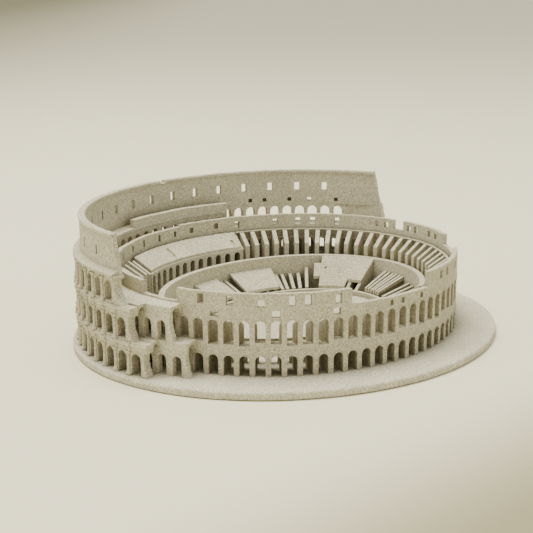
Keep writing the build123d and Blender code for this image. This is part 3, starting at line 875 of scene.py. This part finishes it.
UPPER_WALLS = {
    # node: start, end, top, and its windows, each (bay, sill, head)
    "upper_wall_front": (40.5, 51.9, 36.3, [
        (42.2, 31.6, 35.1), (44.1, 31.6, 35.0), (46.05, 31.2, 33.8),
        (48.0, 31.5, 35.0), (49.0, 31.5, 35.2), (51.0, 31.4, 35.0)]),
    "upper_wall_right_low": (51.9, 58.7, 30.3, []),
    "upper_wall_right_high": (58.7, 66.5, 36.5, [
        (60.5, 31.4, 34.4), (61.6, 31.6, 34.6), (63.8, 31.2, 34.0), (65.2, 31.4, 34.6)]),
    "upper_wall_back_right": (70.2, 75.7, 37.4, [
        (71.6, 33.2, 35.4), (72.6, 33.2, 35.6), (74.3, 33.0, 35.8), (75.1, 33.2, 35.4)]),
    "upper_wall_back": (0.7, 19.5, 37.2, [
        (1.4, 33.0, 35.4), (2.2, 33.2, 35.6), (5.75, 31.9, 35.4),
        (7.75, 31.9, 35.4), (8.95, 31.7, 35.2), (10.85, 32.4, 34.8),
        (14.1, 31.9, 34.8), (16.0, 32.8, 35.0), (18.4, 32.6, 34.8)]),
    "upper_wall_left": (19.5, 37.5, 36.5, [
        (20.1, 32.2, 34.6), (21.9, 32.2, 34.8), (23.95, 32.0, 34.8),
        (25.75, 31.8, 34.6), (28.0, 31.8, 34.4), (30.4, 31.6, 34.2)])}
WINDOW_WIDTH, WINDOW_WORN = 2.4, 0.2        # worn: what the sills and the heads have lost
WINDOW_WIDTHS = {"upper_wall_front": 2.7, "upper_wall_left": 1.5}
LOW_SILL, LOW_WIDTH = 26.9, 3.2             # of the square openings below the front's windows
LOW_OPENINGS = [(43.1, 28.6), (47.0, 29.6), (50.9, 29.4)]
SMALL_ARCHES, SMALL_ARCH_W, SMALL_ARCH_CROWN = [55.0, 56.0, 57.9], 1.9, 29.3
LOW_STRETCHES = [(37.5, 40.5, 31.3), (66.5, 70.2, 32.6), (75.7, 76.7, 32.8)]


def broken_top(level, seed, size=0.25):
    """A ruined wall's upper edge: gently uneven, with a few deeper chips."""
    def top(bay):
        chips = max(0.0, noise.noise(Vector((bay * 2.6, seed, 4.0))) - 0.35)
        return level + wander(bay, seed, size=size, pace=1.1) - 0.9 * chips
    return top


def low_openings(node):
    if node == "upper_wall_front":
        return [window(bay, LOW_WIDTH, LOW_SILL, head) for bay, head in LOW_OPENINGS]
    if node == "upper_wall_right_low":
        return [arch(bay, SMALL_ARCH_W, LOW_SILL, SMALL_ARCH_CROWN) for bay in SMALL_ARCHES]
    return []


def add_ruin(bm, edges, top, courses=()):
    add_wall(bm, edges, FACADE_HEAD, top, courses, FACADE, FACADE_IN, RUIN_THINNING)


def build_upper_wall(node, start, end, level, high):
    width = WINDOW_WIDTHS.get(node, WINDOW_WIDTH)
    windows = [window(bay, width, sill - WINDOW_WORN, head + WINDOW_WORN) for bay, sill, head in high]
    bm = bmesh.new()
    courses = [low_openings(node), windows]
    add_ruin(bm, spread(start, end, 0.25), broken_top(level, start), courses)
    finish_piece(f"ruin_{node}", bm, [node])


def build_low_stretches():
    bm = bmesh.new()
    for start, end, level in LOW_STRETCHES:
        add_ruin(bm, spread(start, end, 0.2), broken_top(level, end, 0.5))
    finish_piece("ruin_low_stretches", bm, ["upper_wall_low_stretches"])


for side, (start, end) in QUARTERS.items():
    build_facade(side, start, end)
for node, (start, end, level, high) in UPPER_WALLS.items():
    build_upper_wall(node, start, end, level, high)
build_low_stretches()


def build_inner_ledge(start=66.0, end=90.4, level=30.3):
    """The narrow shelf inside the facade ring, where the radial walls' raking tops reach it."""
    def section(bay):
        foot, top = level - 0.9, level + wander(bay, 12, size=0.25, pace=1.9)
        profile = ((0.3, foot), (0.3, top), (-0.75, top), (-0.75, top - 0.5), (-0.2, foot))
        return [(FACADE_IN, out, height) for out, height in profile]

    bm = bmesh.new()
    add_sweep(bm, spread(start, end), section)
    finish_piece("inner_ledge", bm, [], slot="facade_stone")


build_inner_ledge()


# ---------------------------------------------------------------- seats
RIB_PITCH = 0.25                # bays from a faint radial rib to the next furrow
STEP_SHARE = 0.35               # of a tier's rise that is its upright front
SEAT_GAP = 0.12                 # between the last tier and the wall behind it
SLOT_DEPTH = 0.9                # of the slab's thickness
FIN_HIGH, FIN_LOW = 30.2, 24.7              # tops of the radial walls, outer and inner end
SEAT_BAYS, SEAT_ARCH_BAYS = (14.5, 26.2), (14.5, 26.5)
# grooves in the seats: bay, half width, and their reach from the arena outwards
UPPER_SLOTS = [(21.77, 0.18, 0.1, 0.7), (15.15, 0.16, 0.16, 0.42)]
LARGE_SLOTS = [(6.05, 0.12, 0.52, 0.6)]


def add_seats(bm, span, rings, rake, thickness, tiers, rib, seed, shares=(0.0, 1.0), slots=()):
    """A slab raking up from the inner ring to the outer, with fine tiers and faint ribs on top."""
    (start, end), (outer, inner), (high, low) = span, rings, rake
    bays = {round(bay, 4) for bay in spread(start, end, RIB_PITCH)}
    for middle, half, *_ in slots:
        bays.update((middle - half - 0.01, middle - half, middle + half, middle + half + 0.01))
    first, last = (round(share * tiers) for share in shares)
    rise = (high - low) / tiers

    def section(bay):
        near, far = spot(bay, inner), spot(bay, outer)
        width = (far - near).length - SEAT_GAP
        ribbed = rib * (round((bay - start) / RIB_PITCH) % 2)
        foot = low + rise * first
        begin = width * first / tiers
        points = [(inner, begin, foot - thickness), (inner, begin, foot + ribbed)]
        for n in range(first, last):
            uneven = ribbed + wander(bay, seed + n, size=0.06, pace=2.7)
            for middle, half, low_share, high_share in slots:
                if abs(bay - middle) <= half + 0.001 and low_share <= n / tiers < high_share:
                    uneven -= SLOT_DEPTH * thickness
            points.append((inner, width * (n + 0.1) / tiers, low + rise * (n + STEP_SHARE) + uneven))
            points.append((inner, width * (n + 1) / tiers, low + rise * (n + 1) + uneven))
        points.append((inner, width * last / tiers, low + rise * last - thickness))
        return points

    add_sweep(bm, sorted(bays), section)


def build_upper_seats():
    bm = bmesh.new()
    add_seats(bm, SEAT_BAYS, (FACADE_IN, CAVEA_EDGE), (FIN_HIGH, FIN_LOW),
              thickness=1.0, tiers=12, rib=0.12, seed=1, slots=UPPER_SLOTS)
    finish_piece("seats_upper", bm, ["seat_slab"], wear=0.05)


def build_seat_arcade(width=3.0, crown=22.4, thickness=0.8):
    """The small arches between the radial walls, under the front edge of the upper seats."""
    start, end = SEAT_ARCH_BAYS
    bays = range(floor(start + 0.5), floor(end + 0.5))
    openings = [arch(bay, width, FACADE_FLOOR, crown) for bay in bays]
    edges, top = spread(start, end), FIN_LOW - 1.1
    bm = bmesh.new()
    add_wall(bm, edges, FACADE_FLOOR, lambda bay: top, [openings], CAVEA_EDGE, CAVEA_EDGE, -thickness)
    finish_piece("seat_arcade", bm, [], slot="inner_stone", wear=0.05)


build_upper_seats()
build_seat_arcade()


def build_ribbed_seats(node, start, end, high, low, bars=6, share=0.62):
    """Where the seats have gone, the raking bars that carried them stand side by side."""
    pitch = (end - start) / bars
    bm = bmesh.new()
    for n in range(bars):
        first = start + pitch * n
        rise = 0.5 * noise.noise(Vector((n * 1.9, 3.0, 0.0)))

        def section(bay):
            near, far = spot(bay, PODIUM), spot(bay, PRECINCT_IN)
            width = (far - near).length - 0.2
            return [(PODIUM, 0.0, low - 1.6), (PODIUM, 0.0, low + rise),
                    (PODIUM, 0.35 * width, low + 2.2 + rise),
                    (PODIUM, width, high + rise), (PODIUM, width, high - 2.0)]

        add_sweep(bm, [first, first + pitch * share], section)
    finish_piece(node.replace("wedge_", ""), bm, [node], wear=0.12)


WEDGES = {
    # node: top and foot of the rake, and its parts: first bay, last bay, reach from the arena outwards
    "wedge_seats_west": (14.5, 9.2, [(19.0, 22.4, 0.0, 1.0)]),
    "wedge_seats_north": (15.4, 9.5, [(12.2, 17.2, 0.0, 1.0)]),
    "wedge_seats_large": (20.0, 8.7, [
        (2.95, 6.6, 0.0, 1.0), (1.0, 2.95, 0.22, 1.0), (6.6, 7.4, 0.3, 0.75)])}


def build_wedge_seats(node, high, low, parts):
    bm = bmesh.new()
    for start, end, *shares in parts:
        slots = LARGE_SLOTS if start < LARGE_SLOTS[0][0] < end else ()
        add_seats(bm, (start, end), (PRECINCT_IN, PODIUM), (high, low),
                  thickness=1.2, tiers=16, rib=0.16, seed=start, shares=shares, slots=slots)
    finish_piece(node.replace("wedge_", ""), bm, [node], wear=0.05)


for node, (high, low, parts) in WEDGES.items():
    build_wedge_seats(node, high, low, parts)
build_ribbed_seats("wedge_seats_east", start=72.7, end=75.8, high=15.5, low=9.5)


# ---------------------------------------------------------------- pieces that keep the frame's own shape
replaced = {name for name, piece in frame["nodes"].items() if piece.hide_render}
for name, piece in frame["nodes"].items():
    piece.data.materials.clear()
    piece.data.materials.append(STONE[SLOT_OF_NODE[name]])
    if name not in replaced:
        soften(piece, EDGE_WEAR)
